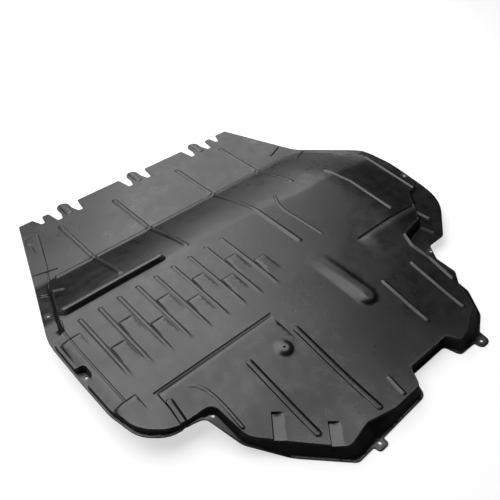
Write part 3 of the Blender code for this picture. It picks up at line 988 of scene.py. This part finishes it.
def combined(tree, operation, first, second):
    """The sum or the product of two values, as the operation says."""
    node = tree.nodes.new("ShaderNodeMath")
    node.operation = operation
    tree.links.new(first, node.inputs[0])
    tree.links.new(second, node.inputs[1])
    return node.outputs[0]


def tinted(tree, share, low, high):
    """A colour between a low and a high one, by a share."""
    node = tree.nodes.new("ShaderNodeMix")
    node.data_type = "RGBA"
    tree.links.new(share, node.inputs["Factor"])
    node.inputs["A"].default_value = low
    node.inputs["B"].default_value = high
    return node.outputs["Result"]


# The plastic's patterns: how many fit in a metre, how far they change its roughness, how strong
# its grain is, and from which to which pointiness a crest turns lighter, as wear and painted highlight.
SHEEN_SCALE, SHEEN_CHANGE = 5.5, 0.05
STREAK_SCALE, STREAK_CHANGE = 38.0, 0.055
NOISE_RANGE = (0.3, 0.7)
FINE_GRAIN = 2.2
GRAIN_STRENGTH = 0.55
CREST_WEAR_AND_HIGHLIGHT_RANGE = (0.505, 0.56)


def black_plastic(finish):
    """Satin black plastic: fine moulded grain, uneven sheen, crests lighter as wear and painted highlight.
    """
    material = bpy.data.materials.new("satin_black_polypropylene")
    material.use_nodes = True
    tree = material.node_tree
    shader = tree.nodes["Principled BSDF"]
    place = tree.nodes.new("ShaderNodeTexCoord").outputs["Object"]

    def noise_of(scale, detail):
        node = shader_node(tree, "ShaderNodeTexNoise", Vector=place, Scale=scale, Detail=detail)
        return node.outputs["Fac"]

    grain = shader_node(tree, "ShaderNodeTexVoronoi", Vector=place, Scale=finish.grain_scale)
    fine = noise_of(finish.grain_scale * FINE_GRAIN, 3.0)
    texture = combined(tree, "ADD", grain.outputs["Distance"], fine)
    bump = shader_node(
        tree, "ShaderNodeBump", Height=texture, Distance=finish.grain_depth, Strength=GRAIN_STRENGTH)
    tree.links.new(bump.outputs["Normal"], shader.inputs["Normal"])

    low, high = finish.roughness - SHEEN_CHANGE, finish.roughness + SHEEN_CHANGE
    level = mapped(tree, noise_of(SHEEN_SCALE, 3.0), NOISE_RANGE, (low, high))
    streak = mapped(tree, noise_of(STREAK_SCALE, 2.0), NOISE_RANGE, (-STREAK_CHANGE, STREAK_CHANGE))
    tree.links.new(combined(tree, "ADD", level, streak), shader.inputs["Roughness"])

    # Crests turn lighter by their pointiness, as wear and as a painted highlight along crests.
    pointiness = tree.nodes.new("ShaderNodeNewGeometry").outputs["Pointiness"]
    rubbed_and_highlit = mapped(tree, pointiness, CREST_WEAR_AND_HIGHLIGHT_RANGE, (0.0, 1.0))
    tree.links.new(tinted(tree, rubbed_and_highlit, finish.color, finish.crest_wear_and_highlight_color), shader.inputs["Base Color"])
    return material


class OBJECT_OT_splash_shield_sheet(bpy.types.Operator):
    """Makes the moulded sheet with all its forms"""
    bl_idname = "object.splash_shield_sheet"
    bl_label = "Moulded sheet"
    bl_options = {"REGISTER", "UNDO"}

    def execute(self, context):
        scene = context.scene
        sheet, comb, finish = scene.shield_sheet, scene.shield_comb, scene.shield_finish
        plastic = black_plastic(finish)
        mesh, shift = sheet_mesh(Surface(sheet, comb))
        mesh.materials.append(plastic)
        piece = bpy.data.objects.new("moulded_sheet", mesh)
        scene.collection.objects.link(piece)
        foot = sheet.bead_width / 2
        first = comb.first + shift[0]
        add_row(
            piece, bead_row_tree(), count=float(comb.count), pitch=comb.pitch, first=first,
            front=comb.front + shift[1], rear=comb.rear + shift[1], height=sheet.bead_height,
            foot=foot, crown=foot * sheet.crown, fade=comb.bead_fade, material=plastic)
        lands = land_row_tree()
        gap = first + comb.pitch / 2
        for start, front, count in (
            (gap, comb.far_land, (comb.count + 1) // 2),
            (gap + comb.pitch, comb.near_land, comb.count // 2),
        ):
            add_row(
                piece, lands, count=float(count), pitch=2 * comb.pitch, first=start, front=front + shift[1],
                height=comb.rise, half_width=comb.pitch / 2 - foot, flank=comb.flank, side=comb.side,
                fade=comb.fade, material=plastic)
        if not made_plain(piece).polygons:
            raise RuntimeError("the moulded sheet came out empty")
        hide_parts(NODE)
        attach(piece, BODY)
        return {"FINISHED"}


# The stage, in metres. The camera stands at the photograph's angle. The floor lies a hair below
# the part, and its lift starts outside a disc under the part, which keeps a painted shade there
# and lets holes show dark. Each light has a name, a place, a turn, a width and a length.
CAMERA_PLACE = (-0.7337, -0.7835, 1.0236)
CAMERA_TURN = (math.radians(90 - 42.588), 0.0, math.radians(-41.853))
CAMERA_LENS = 44.12
CAMERA_REACH = 100.0
SENSOR = 36.0
FLOOR_SIDE = 16.0
FLOOR_GAP = 0.0005
PAINTED_SHADE_DISC = (0.34, 0.38)
LIGHTS = (
    ("key", (-0.45, 1.35, 2.0), (0.0, 0.0, 0.0), 3.3, 3.1),
    ("back", (1.75, 2.5, 1.75), (math.radians(-90), 0.0, math.radians(-35)), 2.0, 2.0),
)


def floor_material(stage):
    """A pale floor, lifted towards white in the camera's view except in a disc of painted shade under the
    part.
    """
    material = bpy.data.materials.new("pale_floor")
    material.use_nodes = True
    tree = material.node_tree
    tree.nodes.clear()
    seen = tree.nodes.new("ShaderNodeLightPath").outputs["Is Camera Ray"]
    mirrored = [c * stage.floor_glow for c in stage.floor_color[:3]] + [1.0]
    tone = tinted(tree, seen, mirrored, stage.floor_color)
    matt = shader_node(tree, "ShaderNodeBsdfDiffuse", Color=tone)
    away = tree.nodes.new("ShaderNodeVectorMath")
    away.operation = "LENGTH"
    tree.links.new(tree.nodes.new("ShaderNodeTexCoord").outputs["Object"], away.inputs[0])
    # Inside a disc under the part the lift is left out, a painted shade under the part.
    lift_past_painted_shade = mapped(tree, away.outputs["Value"], PAINTED_SHADE_DISC, (0.0, stage.floor_lift))
    lift = shader_node(tree, "ShaderNodeEmission", Strength=combined(tree, "MULTIPLY", seen, lift_past_painted_shade))
    both = tree.nodes.new("ShaderNodeAddShader")
    tree.links.new(matt.outputs[0], both.inputs[0])
    tree.links.new(lift.outputs[0], both.inputs[1])
    shader_node(tree, "ShaderNodeOutputMaterial", Surface=both.outputs[0])
    return material


class SCENE_OT_splash_shield_stage(bpy.types.Operator):
    """Makes the pale floor, the soft lights and the camera"""
    bl_idname = "scene.splash_shield_stage"
    bl_label = "Stage"
    bl_options = {"REGISTER", "UNDO"}

    def execute(self, context):
        scene = context.scene
        stage = scene.shield_stage
        half = FLOOR_SIDE / 2
        mesh = bpy.data.meshes.new("floor")
        corners = [(-half, -half, 0), (half, -half, 0), (half, half, 0), (-half, half, 0)]
        mesh.from_pydata(corners, [], [(0, 1, 2, 3)])
        mesh.materials.append(floor_material(stage))
        floor = bpy.data.objects.new("floor", mesh)
        floor.location.z = CAD_BOX[0][2] - FLOOR_GAP
        scene.collection.objects.link(floor)

        for (name, place, turn, width, length), power in zip(LIGHTS, (stage.key_power, stage.back_power)):
            light = bpy.data.lights.new(name, "AREA")
            light.shape = "RECTANGLE"
            light.energy = power
            light.size = width
            light.size_y = length
            lamp = bpy.data.objects.new(name, light)
            lamp.location = place
            lamp.rotation_euler = turn
            scene.collection.objects.link(lamp)

        world = bpy.data.worlds.new("room")
        world.use_nodes = True
        tree = world.node_tree
        seen = tree.nodes.new("ShaderNodeLightPath").outputs["Is Camera Ray"]
        strength = mapped(tree, seen, (0.0, 1.0), (stage.room_light, 1.0))
        tree.nodes["Background"].inputs["Color"].default_value = (1.0, 1.0, 1.0, 1.0)
        tree.links.new(strength, tree.nodes["Background"].inputs["Strength"])
        scene.world = world
        scene.view_settings.view_transform = "Standard"

        lens = bpy.data.cameras.new("camera")
        lens.sensor_width = SENSOR
        lens.lens = CAMERA_LENS
        lens.clip_end = CAMERA_REACH
        camera = bpy.data.objects.new("camera", lens)
        camera.location = CAMERA_PLACE
        camera.rotation_euler = CAMERA_TURN
        scene.collection.objects.link(camera)
        scene.camera = camera
        return {"FINISHED"}


class VIEW3D_PT_splash_shield(bpy.types.Panel):
    """Lists the sizes and finishes of the shield"""
    bl_idname = "VIEW3D_PT_splash_shield"
    bl_label = "Splash Shield"
    bl_space_type = "VIEW_3D"
    bl_region_type = "UI"
    bl_category = "Splash Shield"

    def draw(self, context):
        for name in SETTINGS:
            settings = getattr(context.scene, name)
            box = self.layout.box()
            box.label(text=name.removeprefix("shield_").title())
            for prop in settings.bl_rna.properties:
                if prop.identifier not in {"rna_type", "name"}:
                    box.prop(settings, prop.identifier)
        self.layout.operator(OBJECT_OT_splash_shield_sheet.bl_idname)
        self.layout.operator(SCENE_OT_splash_shield_stage.bl_idname)


SETTINGS = {
    "shield_sheet": SheetSettings,
    "shield_comb": CombSettings,
    "shield_finish": FinishSettings,
    "shield_stage": StageSettings,
}
CLASSES = (
    *SETTINGS.values(),
    OBJECT_OT_splash_shield_sheet,
    SCENE_OT_splash_shield_stage,
    VIEW3D_PT_splash_shield,
)


def register():
    for cls in CLASSES:
        bpy.utils.register_class(cls)
    for name, settings in SETTINGS.items():
        setattr(bpy.types.Scene, name, bpy.props.PointerProperty(type=settings))


def unregister():
    for name in SETTINGS:
        delattr(bpy.types.Scene, name)
    for cls in reversed(CLASSES):
        bpy.utils.unregister_class(cls)


def main():
    register()
    bpy.ops.scene.splash_shield_stage()
    bpy.ops.object.splash_shield_sheet()


if __name__ == "__main__":
    main()
